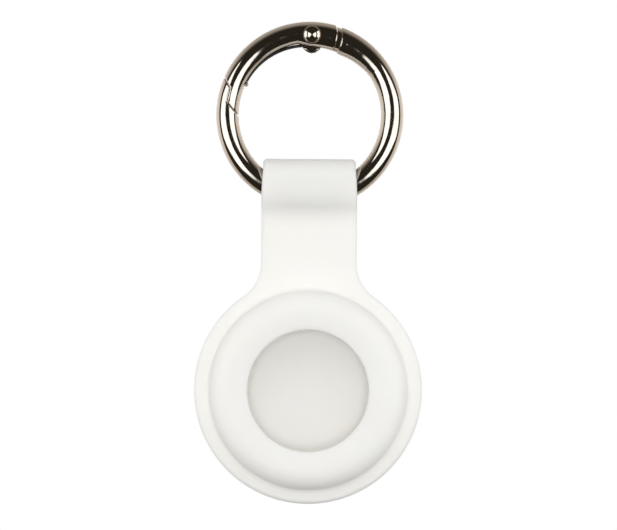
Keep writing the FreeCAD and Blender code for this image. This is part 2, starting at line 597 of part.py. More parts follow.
def make_silicone_holder():
    """One moulding: a loop for the ring, a flat strap, and a round pouch with a brim and a front window."""
    body = new_body("silicone_holder")

    # Strap and brim in one flat sheet.
    tangent_x = "Worked.fillet_x * Worked.brim_share"
    tangent_z = "Worked.pouch_z + Worked.fillet_z * Worked.brim_share"
    sheet = outline(new_sketch(body, "strap_and_brim", "XZ_Plane"), [
        ("-Worked.strap_half", "Worked.strap_top"),
        ("-Worked.strap_half", "Worked.corner_z", "Sizes.strap_fillet", -1),
        (f"-{tangent_x}", tangent_z, "Worked.brim_radius", 1),
        ("0", "Worked.pouch_z - Worked.brim_radius", "Worked.brim_radius", 1),
        (tangent_x, tangent_z, "Sizes.strap_fillet", -1),
        ("Worked.strap_half", "Worked.corner_z"),
        ("Worked.strap_half", "Worked.strap_top"),
    ])
    through(body, "Pad", sheet, "Sizes.strap_thickness")

    # Loop round the wire: round on top, narrowing to the strap in two equal arcs on each side.
    middle_y = "(Worked.loop_half + Worked.sheet_half) / 2"
    middle_z = "(Worked.loop_waist + Worked.strap_top) / 2"
    loop = outline(new_sketch(body, "loop", "YZ_Plane"), [
        ("-Worked.sheet_half", "Worked.strap_top"),
        ("Worked.sheet_half", "Worked.strap_top", "Worked.blend_radius", -1),
        (middle_y, middle_z, "Worked.blend_radius", 1),
        ("Worked.loop_half", "Worked.loop_waist"),
        ("Worked.loop_half", "Worked.loop_shoulder", "Worked.loop_half", 1),
        ("0", "Worked.loop_top", "Worked.loop_half", 1),
        ("-Worked.loop_half", "Worked.loop_shoulder"),
        ("-Worked.loop_half", "Worked.loop_waist", "Worked.blend_radius", 1),
        (f"-({middle_y})", middle_z, "Worked.blend_radius", -1),
    ])
    through(body, "Pad", loop, "Sizes.strap_width")
    rounded(body, on_outline, "Sizes.strap_thickness * Sizes.sheet_round_share")
    bore = outline(new_sketch(body, "bore", "YZ_Plane"), [
        ("Worked.bore_half", "Worked.bore_bottom + Worked.bore_half"),
        ("Worked.bore_half", "Worked.bore_top - Worked.bore_half", "Worked.bore_half", 1),
        ("0", "Worked.bore_top", "Worked.bore_half", 1),
        ("-Worked.bore_half", "Worked.bore_top - Worked.bore_half"),
        ("-Worked.bore_half", "Worked.bore_bottom + Worked.bore_half", "Worked.bore_half", 1),
        ("0", "Worked.bore_bottom", "Worked.bore_half", 1),
    ])
    through(body, "Pocket", bore, "2 * Sizes.strap_width")

    # Pouch, then its pocket and window in one hollow.
    place = ("0", "0", "Worked.pouch_z")
    shoulder = "Sizes.bulge_round"
    pouch = outline(new_sketch(body, "pouch", "XY_Plane", place), [
        ("0", "Worked.front_y + Sizes.window_dip"),
        ("Worked.window_radius", "Worked.front_y + Sizes.window_dip", "Worked.dip_radius", 1),
        ("Worked.crest_radius", "Worked.front_y", shoulder, 1),
        ("Worked.bulge_radius", f"Worked.front_y + {shoulder}"),
        ("Worked.bulge_radius", f"Worked.back_y - {shoulder}", shoulder, 1),
        ("Worked.crest_radius", "Worked.back_y"),
        ("0", "Worked.back_y"),
    ])
    turned(body, "Revolution", pouch, (pouch, ["V_Axis"]), "360")
    hollow = outline(new_sketch(body, "pocket_and_window", "XY_Plane", place), [
        ("0", "Worked.front_y - Sizes.cut_overrun"),
        ("Worked.window_radius", "Worked.front_y - Sizes.cut_overrun"),
        ("Worked.window_radius", "-Worked.pocket_half"),
        ("Worked.pocket_radius - Sizes.pocket_round", "-Worked.pocket_half", "Sizes.pocket_round", 1),
        ("Worked.pocket_radius", "-Worked.pocket_half + Sizes.pocket_round"),
        ("Worked.pocket_radius", "Worked.pocket_half - Sizes.pocket_round", "Sizes.pocket_round", 1),
        ("Worked.pocket_radius - Sizes.pocket_round", "Worked.pocket_half"),
        ("0", "Worked.pocket_half"),
    ])
    turned(body, "Groove", hollow, (hollow, ["V_Axis"]), "360")
    rounded(body, on_lip, "(Sizes.front_wall - Sizes.window_dip) * Sizes.lip_round_share")
    return body


def check(parts):
    """Stops unless every feature was made and every piece is one sound solid."""
    for feature in doc.Objects:
        if "Invalid" in feature.State or "Error" in feature.State:
            raise RuntimeError(f"{feature.Label} failed: {feature.State}")
    for piece in parts:
        shape = piece.Shape
        if shape.isNull() or not shape.isValid() or len(shape.Solids) != 1:
            raise RuntimeError(f"{piece.Label} is not one sound solid")


pieces = [make_ring_body(), make_gate(), make_hinge_rivet(), make_gate_spring(), make_silicone_holder()]
doc.recompute()
check(pieces)
os.makedirs("parts", exist_ok=True)
for piece in pieces:
    piece.Shape.exportStep(f"parts/{piece.Label}.step")
    print(f"{piece.Label}: {piece.Shape.Volume:.2f} cubic millimetres")
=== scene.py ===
import math

import bmesh
import bpy
from bpy.props import FloatProperty, FloatVectorProperty, IntProperty, PointerProperty
from mathutils import Matrix, Vector
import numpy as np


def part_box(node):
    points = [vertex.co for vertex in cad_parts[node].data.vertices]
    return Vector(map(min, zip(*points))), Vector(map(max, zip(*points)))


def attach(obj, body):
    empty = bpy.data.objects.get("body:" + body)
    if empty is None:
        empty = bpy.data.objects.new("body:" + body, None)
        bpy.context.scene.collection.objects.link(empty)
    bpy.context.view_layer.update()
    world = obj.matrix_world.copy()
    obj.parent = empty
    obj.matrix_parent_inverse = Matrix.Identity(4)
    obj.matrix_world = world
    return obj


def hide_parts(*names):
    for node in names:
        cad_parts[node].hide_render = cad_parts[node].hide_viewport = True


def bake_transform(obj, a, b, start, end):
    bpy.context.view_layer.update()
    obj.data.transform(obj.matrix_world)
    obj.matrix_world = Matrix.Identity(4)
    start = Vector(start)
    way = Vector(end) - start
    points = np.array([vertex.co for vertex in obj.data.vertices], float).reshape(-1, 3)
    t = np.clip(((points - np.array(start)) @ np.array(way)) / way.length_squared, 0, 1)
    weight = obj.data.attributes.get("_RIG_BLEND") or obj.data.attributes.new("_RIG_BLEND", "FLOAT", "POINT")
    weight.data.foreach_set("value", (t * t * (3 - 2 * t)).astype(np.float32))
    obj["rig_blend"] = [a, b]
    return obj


bl_info = {
    "name": "Tracker tag holder",
    "version": (1, 0, 0),
    "blender": (4, 5, 0),
    "location": "View3D > Sidebar > Tag Holder",
    "description": "Dresses a silicone tag holder that hangs from a spring-gate ring",
    "category": "Object",
}

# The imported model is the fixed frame: metres, origin at the ring's centre, front towards -Y, +Z up.
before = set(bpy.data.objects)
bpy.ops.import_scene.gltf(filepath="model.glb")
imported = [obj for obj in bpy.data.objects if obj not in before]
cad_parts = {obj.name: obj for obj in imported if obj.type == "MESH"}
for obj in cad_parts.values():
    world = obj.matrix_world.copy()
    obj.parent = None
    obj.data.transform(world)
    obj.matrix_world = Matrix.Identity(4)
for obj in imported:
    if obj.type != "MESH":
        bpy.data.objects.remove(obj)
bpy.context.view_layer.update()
HOLDER_LOW, HOLDER_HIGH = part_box("silicone_holder")
RING_LOW, RING_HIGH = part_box("ring_body")
SPRING_LOW, SPRING_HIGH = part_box("gate_spring")

# Corners closer together than this are one corner.
WELD = 1e-6

# Noted on each corner of the brim's open rim: its share of the way to the strap's corner, how far out it lies
# on the brim's rounded edge, its depth, and where it stands across the strap.
MARKS = ("across", "outward", "depth", "column")

# Steps round each curve of the silicone moulding, and the rings inside its two flat discs.
DISC_RINGS = (0.35, 0.7)
POCKET_STEPS = 8
LIP_STEPS = 6
FRONT_STEPS = 8
SHOULDER_STEPS = 14
BACK_STEPS = 12
CREASE_STEPS = 4
EDGE_STEPS = 6
CORNER_STEPS = 14
STRAP_ROWS = 4
BLEND_STEPS = 12
CROWN_STEPS = 18
BORE_STEPS = 4

# Steps along the spring strip, round its edges and round its rolled end, and round the floor.
BOW_STEPS = 64
STRIP_STEPS = 3
BEAD_STEPS = 40
FLOOR_STEPS = 96

# A Mix node's colours share their names with its other sockets, so they are found by number.
MIX_FIRST, MIX_SECOND, MIX_RESULT = 6, 7, 2

# The range that most of a noise lies in.
NOISE_RANGE = (0.3, 0.7)

# The metal: how open a spot is at a seam's edge and down in it, which sets the seams' painted shade, what a
# seam and a cut face add to the roughness, how metallic a seam is, the width of the hinge lobe's border, and
# the rays that feel the surface.
SEAM_SHADE_RANGE = (0.75, 0.3)
SEAM_ROUGHNESS = 0.25
SEAM_METAL = 0.2
CUT_ROUGHNESS = 0.3
LOBE_BORDER = 0.00015
SURFACE_SAMPLES = 8

# The strip's bright end fades out between these shares of the bead's radius, and its steel is tinted by heat.
BEAD_FADE = (1.3, 1.05)
HEAT_TINT = (0.75, 0.85, 1.05)

# Soft light: where the even room dims downwards, the lamps' tint, and the white behind the object.
ROOM_FALL = (0.3, -0.6)
LAMP_TINT = (1.0, 1.0, 0.997)
BACKDROP = (1.0, 1.0, 1.0)

# The two panels that polished metal mirrors, by how far aside and how high for each step towards the camera.
LEAST_AHEAD = 0.02
CAMERA_LEVEL = 0.045
PANEL_GAP = 0.36
GAP_ABOVE = 0.75
GAP_BELOW = 3.3
GAP_LEAST = -0.78
PANEL_INNER = (-0.02, 0.05)
PANEL_OUTER = (3.4, 2.9)
PANEL_TOP = (0.80, 0.70)
SILL_LEAN = -0.5
SILL_LEVEL = -0.25
SILL_LOWEST = -0.66
SILL_EDGE = (-0.08, 0.08)

# The room behind that polished metal mirrors, by direction: 1 is straight up, or straight behind the object.
CEILING = (0.1, 0.8)
GROUND = (-0.1, -0.8)
BACK_SHIFT_UP = -0.50
BACK_SHIFT_DOWN = 0.12
BACK_FADE = 0.12
BACK_FADE_UP = 0.75
DOOR_FRAME = (0.82, 0.86)
DOORWAY = (0.90, 0.92)


def length(name, description, default, low=0.0):
    """A size in metres that the sidebar shows as a length."""
    return FloatProperty(name=name, description=description, default=default, min=low, precision=5,
                         unit="LENGTH", subtype="DISTANCE")


def point(name, description, default):
    """A point in metres."""
    return FloatVectorProperty(name=name, description=description, default=default, size=3, precision=5,
                               unit="LENGTH", subtype="XYZ")


def angle(name, description, degrees):
    """An angle that the sidebar shows in degrees."""
    return FloatProperty(name=name, description=description, default=math.radians(degrees), unit="ROTATION",
                         subtype="ANGLE")


def share(name, description, default):
    """A number from 0 to 1."""
    return FloatProperty(name=name, description=description, default=default, min=0.0, max=1.0,
                         subtype="FACTOR")


def colour(name, description, default):
    """A linear colour."""
    return FloatVectorProperty(name=name, description=description, default=default, size=3, min=0.0,
                               max=1.0, subtype="COLOR")


def light(name, description, default):
    """A linear colour that may be brighter than white."""
    return FloatVectorProperty(name=name, description=description, default=default, size=3, min=0.0,
                               soft_max=4.0, subtype="COLOR")


def power(name, description, default):
    """A lamp's power in watts."""
    return FloatProperty(name=name, description=description, default=default, min=0.0, unit="POWER")


class HolderSizes(bpy.types.PropertyGroup):
    """Sizes and finish of the silicone moulding."""
    brim_radius: length("Brim radius", "Outside of the brim round the pouch", HOLDER_HIGH.x)
    bulge_radius: length("Bulge radius", "Outside of the pouch inside its brim", 0.0175)
    bulge_round: length("Bulge rounding", "Rounded shoulders of the pouch", 0.0036)
    crease_round: length("Crease", "Rounding where the pouch rises from the brim", 0.0008)
    pocket_radius: length("Pocket radius", "Room for the tag", 0.0161)
    pocket_depth: length("Pocket depth", "Room for the tag, front to back", 0.0081)
    pocket_round: length("Pocket rounding", "Rounded edges of the pocket", 0.0026)
    window_radius: length("Window radius", "Round window in the front", 0.01065)
    window_dip: length("Window dip", "Window's edge behind the crest of the front", 0.00045)
    lip_round: length("Lip rounding", "Rounded lip of the window", 0.00045)
    sheet: length("Sheet thickness", "Strap and brim", 0.0024)
    edge_round: length("Edge rounding", "Rounded edges of the strap, loop and brim", 0.0008)
    strap_width: length("Strap width", "Strap and loop", 0.01685)
    loop_wall: length("Loop wall", "Wall of the loop round the ring", 0.0014)
    loop_half: length("Loop half depth", "Loop from its middle to its front", 0.00355)
    loop_straight: length("Loop straight", "Straight run below the loop's round top", 0.0011)
    loop_blend: length("Loop blend", "Height over which the loop narrows to the strap", 0.0075)
    loop_taper: length("Loop taper", "How much narrower the loop's top is, on each side", 0.00027)
    bore_play: length("Bore clearance", "Room under the ring in the loop", 0.0002)
    bore_round: length("Bore rounding", "Rounded mouth of the loop's bore", 0.00025)
    turns: IntProperty(name="Steps round", description="Steps round the pouch", default=145, min=60)
    strap_turns: IntProperty(name="Strap steps", description="Steps from the middle to the strap's corner",
                             default=14, min=4)
    tint: colour("Silicone", "Colour of the silicone", (0.940, 0.926, 0.894))
    shade: colour("Silicone shade", "Slightly deeper tone in the mottling", (0.928, 0.908, 0.868))


class RingFinish(bpy.types.PropertyGroup):
    """Sizes of the spring strip and the finish of the metal."""
    strip_thickness: length("Strip thickness", "Spring strip", 0.0005)
    strip_width: length("Strip width", "Spring strip", SPRING_HIGH.y - SPRING_LOW.y)
    strip_radius: length("Strip radius", "Bow of the spring strip", 0.0121)
    strip_centre: point("Strip centre", "Centre of the strip's bow", (-0.0005794, 0.0, 0.0001559))
    strip_root: angle("Strip root", "Held end, about the strip's own centre", 84.8)
    strip_tip: angle("Strip tip", "Free end, about the strip's own centre", 154.0)
    strip_heel: angle("Strip heel", "Where the strip has bent and lies along the gate", 104.0)
    strip_round: length("Strip edges", "Rounded edges of the spring strip", 0.00006)
    bead_radius: length("Bead radius", "Rolled free end of the spring strip", 0.00042)
    rolled: colour("Rolled end", "Colour of the strip's bright rolled end", (0.62, 0.58, 0.53))
    steel: colour("Spring steel", "Colour of the spring strip", (0.11, 0.097, 0.08))
    nickel: colour("Nickel", "Colour of the plated ring", (0.66, 0.605, 0.53))
    nickel_dull: colour("Dull nickel", "Colour of smudges and cut faces", (0.50, 0.43, 0.34))
    # These two set the seams' painted shade: its bronze colour, which also stands for thin plating, and how
    # wide a seam it darkens.
    seam_shade_bronze: colour("Bronze", "Colour of the thin plating down in the seams", (0.30, 0.19, 0.08))
    shaded_seam: length("Hollows", "Width of the seams where the plating is thin", 0.0006)
    wire: length("Wire", "Thickness of the ring's wire", 0.0039)
    cut_depth: length("Cut faces", "How far under the wire's skin the satin cut faces begin", 0.0003)
    cut_blend: length("Cut blend", "Depth over which the polish turns satin", 0.00015)
    edge_soft: length("Soft edges", "Polished rounding of the hinge lobe's edge", 0.0006)
    lobe_top: length("Lobe", "Hinge lobe, which stands in from here towards the ring's centre", 0.01185)
    gloss: share("Roughness", "Roughness of the polished plating", 0.07)


class StageLook(bpy.types.PropertyGroup):
    """Light, floor and camera."""
    lens: FloatProperty(name="Lens", description="Focal length in millimetres", default=200.0, min=20.0,
                        unit="CAMERA")
    view_width: length("View width", "Width that the camera takes in at the object", 0.10896)
    view_x: length("View centre X", "Middle of the picture", -0.00006, low=-1.0)
    view_z: length("View centre Z", "Middle of the picture", -0.02648, low=-1.0)
    view_roll: angle("View roll", "Slight lean of the camera", -0.383)
    floor_drop: length("Floor drop", "Floor below the hanging pouch", 0.016)
    floor_radius: length("Floor radius", "Round floor", 0.1)
    paper: colour("Floor paper", "Colour of the floor's paper", (0.84, 0.835, 0.82))
    paper_fibre: colour("Paper fibres", "Paler fibres in the floor's paper", (0.88, 0.875, 0.865))
    table_tint: colour("Light table", "Colour of the light through the paper", (1.0, 0.995, 0.985))
    table_light: share("Light table's strength", "Strength of the light through the paper", 0.17)
    panel: light("Side panels", "Light of the two soft panels beside the camera", (1.75, 1.78, 1.85))
    back: light("Room behind", "Light of the room behind the object", (0.95, 0.86, 0.79))
    back_dim: light("Ceiling and floor", "Light of the room behind, above and below", (0.50, 0.45, 0.40))
    dark: light("Dark front", "Unlit part of the room in front", (0.026, 0.022, 0.016))
    room: light("Even room", "Soft light from all round", (0.56, 0.56, 0.558))
    room_low: light("Even room below", "Soft light from below", (0.385, 0.383, 0.378))
    key: power("Top light", "Power of the soft light above the front", 0.32)
    fill: power("Front light", "Power of the soft light round the camera", 1.24)
    sides: power("Side lights", "Power of each soft light beside the object", 0.46)
    rear: power("Rear light", "Power of the soft light behind the object", 1.0)


def corners_of(items):
    """The vertices among a bmesh operator's results."""
    return [item for item in items if isinstance(item, bmesh.types.BMVert)]


def close_skin(bm, what):
    """Turns the faces of a closed skin outwards, and stops the script where it has a gap."""
    bmesh.ops.recalc_face_normals(bm, faces=bm.faces)
    if any(not edge.is_manifold for edge in bm.edges):
        raise RuntimeError(f"The {what} isn't closed")


def finish_mesh(bm, name, material):
    """Turns a bmesh into a smooth object of the scene at the origin."""
    mesh = bpy.data.meshes.new(name)
    bm.to_mesh(mesh)
    bm.free()
    mesh.shade_smooth()
    mesh.materials.append(material)
    piece = bpy.data.objects.new(name, mesh)
    bpy.context.scene.collection.objects.link(piece)
    return piece


class Pen:
    """Draws a section line in the plane X = 0, by straight runs and turns about a centre."""

    def __init__(self, bm, y, z):
        self.bm = bm
        self.tip = bm.verts.new((0.0, y, z))

    def run(self, y, z):
        """Goes straight to a point."""
        made = bmesh.ops.extrude_vert_indiv(self.bm, verts=[self.tip])
        self.tip = made["verts"][0]
        self.tip.co = (0.0, y, z)

    def turn(self, y, z, degrees, steps):
        """Goes round a centre."""
        made = bmesh.ops.spin(self.bm, geom=[self.tip], cent=(0.0, y, z), axis=(1.0, 0.0, 0.0),
                              angle=math.radians(degrees), steps=steps, use_duplicate=False)
        self.tip = corners_of(made["geom_last"])[0]


def grow(bm, rim, spot_for, *row):
    """Draws an open rim out by one row. spot_for() says where each new corner of that row goes."""
    made = bmesh.ops.extrude_edge_only(bm, edges=rim)["geom"]
    for corner in corners_of(made):
        corner.co = spot_for(corner, *row)
    return [item for item in made if isinstance(item, bmesh.types.BMEdge) and item.is_boundary]


def draw_pouch(bm, sizes, middle):
    """Spins the pouch's section: pocket, lip, front, shoulder, crease, brim and back."""
    front = HOLDER_LOW.y
    back = HOLDER_HIGH.y
    half = sizes.sheet / 2
    edge = sizes.edge_round
    floor = sizes.pocket_depth / 2
    corner = sizes.pocket_round
    inner = sizes.pocket_radius - corner
    crest = sizes.bulge_radius - sizes.bulge_round
    crease = sizes.crease_round
    lip = sizes.lip_round
    lip_ring = sizes.window_radius + lip

    # The front is part of a ball that dips towards the window, and the lip rolls over into it.
    run = crest - sizes.window_radius
    ball = (run ** 2 + sizes.window_dip ** 2) / (2 * sizes.window_dip)
    lip_front = front + ball - math.sqrt((ball - lip) ** 2 - (crest - lip_ring) ** 2)
    lean = math.degrees(math.atan2(crest - lip_ring, front + ball - lip_front))

    pen = Pen(bm, floor, middle)
    for ring in (*DISC_RINGS, 1.0):
        pen.run(floor, middle + inner * ring)
    pen.turn(floor - corner, middle + inner, 90, POCKET_STEPS)
    pen.run(corner - floor, middle + sizes.pocket_radius)
    pen.turn(corner - floor, middle + inner, 90, POCKET_STEPS)
    pen.run(-floor, middle + lip_ring)
    pen.turn(-floor - lip, middle + lip_ring, -90, LIP_STEPS)
    pen.run(lip_front, middle + sizes.window_radius)
    pen.turn(lip_front, middle + lip_ring, lean - 90, LIP_STEPS)
    pen.turn(front + ball, middle + crest, -lean, FRONT_STEPS)
    pen.turn(front + sizes.bulge_round, middle + crest, -90, SHOULDER_STEPS)
    pen.run(-half - crease, middle + sizes.bulge_radius)
    pen.turn(-half - crease, middle + sizes.bulge_radius + crease, 90, CREASE_STEPS)
    pen.run(-half, middle + sizes.brim_radius - edge)
    pen.turn(edge - half, middle + sizes.brim_radius - edge, -90, EDGE_STEPS)
    pen.run(half - edge, middle + sizes.brim_radius)
    pen.turn(half - edge, middle + sizes.brim_radius - edge, -90, EDGE_STEPS)
    pen.run(half, middle + sizes.bulge_radius + crease)
    pen.turn(half + crease, middle + sizes.bulge_radius + crease, 90, CREASE_STEPS)
    pen.run(back - sizes.bulge_round, middle + sizes.bulge_radius)
    pen.turn(back - sizes.bulge_round, middle + crest, -90, BACK_STEPS)
    for ring in (*reversed(DISC_RINGS), 0.0):
        pen.run(back, middle + crest * ring)
    bmesh.ops.spin(bm, geom=bm.verts[:] + bm.edges[:], cent=(0.0, 0.0, middle), axis=(0.0, 1.0, 0.0),
                   angle=2 * math.pi, steps=sizes.turns, use_merge=True, use_duplicate=False)
    bmesh.ops.remove_doubles(bm, verts=bm.verts, dist=WELD)


def open_brim(bm, sizes, middle, reach):
    """Opens the brim's edge under the strap and notes on each corner of the rim where it lies."""
    flat_end = sizes.brim_radius - sizes.edge_round
    across, outward, depth, column = [bm.verts.layers.float.new(name) for name in MARKS]

    def from_middle(spot):
        return math.hypot(spot.x, spot.z - middle)

    def bearing(spot):
        return math.atan2(spot.x, spot.z - middle)

    under = [face for face in bm.faces
             if all(from_middle(corner.co) > flat_end - WELD for corner in face.verts)
             and abs(bearing(face.calc_center_median())) < reach]
    bmesh.ops.delete(bm, geom=under, context="FACES")
    rim = [edge for edge in bm.edges if edge.is_boundary]
    for corner in {corner for edge in rim for corner in edge.verts}:
        corner[across] = bearing(corner.co) / reach
        corner[outward] = max(from_middle(corner.co) - flat_end, 0.0)
        corner[depth] = corner.co.y
    return rim, (across, outward, depth, column)


def draw_strap(bm, sizes, middle, reach, rim, marks):
    """Draws the open rim along the two rounded corners and up to the foot of the loop."""
    across, outward, depth, column = marks
    strap = sizes.strap_width / 2
    fillet = (sizes.brim_radius * math.sin(reach) - strap) / (1 - math.sin(reach))
    centre_x = strap + fillet
    centre_z = middle + math.sqrt((sizes.brim_radius + fillet) ** 2 - centre_x ** 2)
    flat_end = sizes.brim_radius - sizes.edge_round
    foot = HOLDER_HIGH.z - sizes.loop_half - sizes.loop_straight - sizes.loop_blend

    def on_corner(corner, done):
        lean = (math.pi / 2 - reach) * (1 - done)
        aside = math.sin(corner[across] * reach) / math.sin(reach)
        swing = fillet + sizes.edge_round - corner[outward]
        crown = (1 - done) * flat_end * (math.cos(corner[across] * reach) - math.cos(reach))
        return Vector((aside * (centre_x - swing * math.cos(lean)), corner[depth],
                       centre_z - swing * math.sin(lean) + crown))

    def on_strap(corner, height):
        return Vector((corner.co.x, corner[depth], height))

    for step in range(1, CORNER_STEPS + 1):
        rim = grow(bm, rim, on_corner, step / CORNER_STEPS)
    for row in range(1, STRAP_ROWS + 1):
        rim = grow(bm, rim, on_strap, centre_z + (foot - centre_z) * row / STRAP_ROWS)
    for corner in {corner for edge in rim for corner in edge.verts}:
        corner[column] = corner.co.x
    return rim, foot


def loop_line(sizes, foot):
    """Points up the loop's outside, as (depth, height, normal's depth, normal's height)."""
    half = sizes.sheet / 2
    side = sizes.loop_half - half
    bend = (side ** 2 + sizes.loop_blend ** 2) / (4 * side)
    sweep = math.asin(sizes.loop_blend / 2 / bend)
    waist = foot + sizes.loop_blend
    shoulder = waist + sizes.loop_straight
    for step in range(1, BLEND_STEPS + 1):
        turn = sweep * step / BLEND_STEPS
        yield (half + bend * (1 - math.cos(turn)), foot + bend * math.sin(turn),
               math.cos(turn), -math.sin(turn))
    for step in range(BLEND_STEPS - 1, -1, -1):
        turn = sweep * step / BLEND_STEPS
        yield (sizes.loop_half - bend * (1 - math.cos(turn)), waist - bend * math.sin(turn),
               math.cos(turn), -math.sin(turn))
    for step in range(CROWN_STEPS + 1):
        turn = math.pi / 2 * step / CROWN_STEPS
        yield (sizes.loop_half * math.cos(turn), shoulder + sizes.loop_half * math.sin(turn),
               math.cos(turn), math.sin(turn))


def draw_loop(bm, sizes, foot, rim, marks):
    """Draws the strap up into the loop, closes its top and bores it for the ring."""
    outward, depth, column = marks[1:]
    half = sizes.sheet / 2
    top = HOLDER_HIGH.z

    def on_loop(corner, out, height, lean_out, lean_up):
        climb = min(max((height - top) / (2 * sizes.loop_half) + 1, 0.0), 1.0)
        narrow = 1 - 2 * sizes.loop_taper / sizes.strap_width * climb * climb * (3 - 2 * climb)
        sunk = half - abs(corner[depth])
        side = math.copysign(1.0, corner[depth])
        return Vector((corner[column] * narrow, side * (out - sunk * lean_out), height - sunk * lean_up))

    for row in loop_line(sizes, foot):
        rim = grow(bm, rim, on_loop, *row)
    sides = [face for face in bm.faces
             if all(corner[outward] > sizes.edge_round - WELD for corner in face.verts)
             and face.calc_center_median().z > foot]
    bmesh.ops.delete(bm, geom=sides, context="FACES")
    crest = [corner for corner in bm.verts if corner.co.z > top - 2 * sizes.edge_round]
    bmesh.ops.remove_doubles(bm, verts=crest, dist=WELD)
    bore_half = sizes.loop_half - sizes.loop_wall
    low = RING_LOW.z - sizes.bore_play + bore_half
    high = top - sizes.loop_wall - bore_half

    def on_bore(corner):
        middle = Vector((corner.co.x, 0.0, min(max(corner.co.z, low), high)))
        return middle + (corner.co - middle).normalized() * bore_half

    mouths = grow(bm, [edge for edge in bm.edges if edge.is_boundary], on_bore)
    bored = bmesh.ops.bridge_loops(bm, edges=mouths)["faces"]
    walls = {edge for face in bored for edge in face.edges}
    bmesh.ops.bevel(bm, geom=[edge for edge in mouths if edge in walls], offset=sizes.bore_round,
                    offset_type="OFFSET", affect="EDGES", segments=BORE_STEPS, profile=0.5, material=-1)


def new_shader(name):
    """An empty material with a Principled shader on its output."""
    material = bpy.data.materials.new(name)
    material.use_nodes = True
    tree = material.node_tree
    tree.nodes.clear()
    output = tree.nodes.new("ShaderNodeOutputMaterial")
    shader = tree.nodes.new("ShaderNodeBsdfPrincipled")
    tree.links.new(shader.outputs["BSDF"], output.inputs["Surface"])
    return material, tree, shader


def tune(node, **values):
    """Gives a node's settings and inputs their values, by name with _ for a space."""
    for name, value in values.items():
        if hasattr(node, name):
            setattr(node, name, value)
        else:
            node.inputs[name.replace("_", " ")].default_value = value


def put(tree, kind, links=(), **values):
    """Adds a node with its values, and joins other nodes' outputs to its inputs."""
    node = tree.nodes.new(kind)
    tune(node, **values)
    for name, source in links:
        tree.links.new(source, node.inputs[name])
    return node


def join(tree, value, socket):
    """Gives a socket a number, a colour or another node's output."""
    if isinstance(value, bpy.types.NodeSocket):
        tree.links.new(value, socket)
    elif isinstance(value, (int, float)):
        socket.default_value = value
    else:
        socket.default_value = (*value, 1.0)


def noise(tree, place, scale, detail=2.0, roughness=0.5):
    """Soft random mottling of a given number of features to the metre."""
    node = put(tree, "ShaderNodeTexNoise", [("Vector", place)], Scale=scale, Detail=detail,
               Roughness=roughness)
    return node.outputs["Fac"]


def spread(tree, source, low, high, to_low=0.0, to_high=1.0):
    """Maps a value from one range to another, without going past its ends."""
    node = put(tree, "ShaderNodeMapRange", [("Value", source)], From_Min=low, From_Max=high, To_Min=to_low,
               To_Max=to_high)
    return node.outputs["Result"]


def ramp(tree, value, low, high):
    """0 at low, 1 at high, with a soft start and end."""
    node = put(tree, "ShaderNodeMapRange", [("Value", value)], interpolation_type="SMOOTHSTEP", From_Min=low,
               From_Max=high)
    return node.outputs["Result"]


def blend_colours(tree, factor, first, second):
    """Mixes two colours, each a constant or another node's output, by a factor."""
    node = put(tree, "ShaderNodeMix", [("Factor", factor)], data_type="RGBA")
    join(tree, first, node.inputs[MIX_FIRST])
    join(tree, second, node.inputs[MIX_SECOND])
    return node.outputs[MIX_RESULT]


def formula(tree, operation, *terms):
    """One step of arithmetic on numbers and other nodes' outputs."""
    node = put(tree, "ShaderNodeMath", operation=operation)
    for number, term in enumerate(terms):
        join(tree, term, node.inputs[number])
    return node.outputs["Value"]


def between(tree, first, second):
    """The straight distance that two distances at right angles make."""
    square = formula(tree, "MULTIPLY", first, first)
    return formula(tree, "SQRT", formula(tree, "MULTIPLY_ADD", second, second, square))


def bumps(tree, height, strength, distance, under=None):
    """Turns a height into a surface relief, on top of another one if there is one."""
    node = put(tree, "ShaderNodeBump", [("Height", height)], Strength=strength, Distance=distance)
    if under is not None:
        tree.links.new(under, node.inputs["Normal"])
    return node.outputs["Normal"]


def silicone_finish(sizes):
    """Matte off-white silicone: fine moulded grain, faint mottling and a soft bloom."""
    material, tree, shader = new_shader("silicone")
    place = put(tree, "ShaderNodeTexCoord").outputs["Object"]
    mottle = noise(tree, place, scale=90.0, detail=3.0)
    grain = noise(tree, place, scale=5200.0)
    waves = noise(tree, place, scale=260.0)
    tone = blend_colours(tree, spread(tree, mottle, *NOISE_RANGE), sizes.tint, sizes.shade)
    tree.links.new(tone, shader.inputs["Base Color"])
    tree.links.new(spread(tree, waves, *NOISE_RANGE, to_low=0.5, to_high=0.62), shader.inputs["Roughness"])
    relief = bumps(tree, waves, strength=0.12, distance=0.0001)
    relief = bumps(tree, grain, strength=0.25, distance=0.00003, under=relief)
    tree.links.new(relief, shader.inputs["Normal"])
    tune(shader, IOR=1.41, Specular_IOR_Level=0.35, Sheen_Weight=0.06, Sheen_Roughness=0.5,
         Subsurface_Weight=0.6, Subsurface_Radius=(1.0, 0.97, 0.93), Subsurface_Scale=0.0022)
    return material


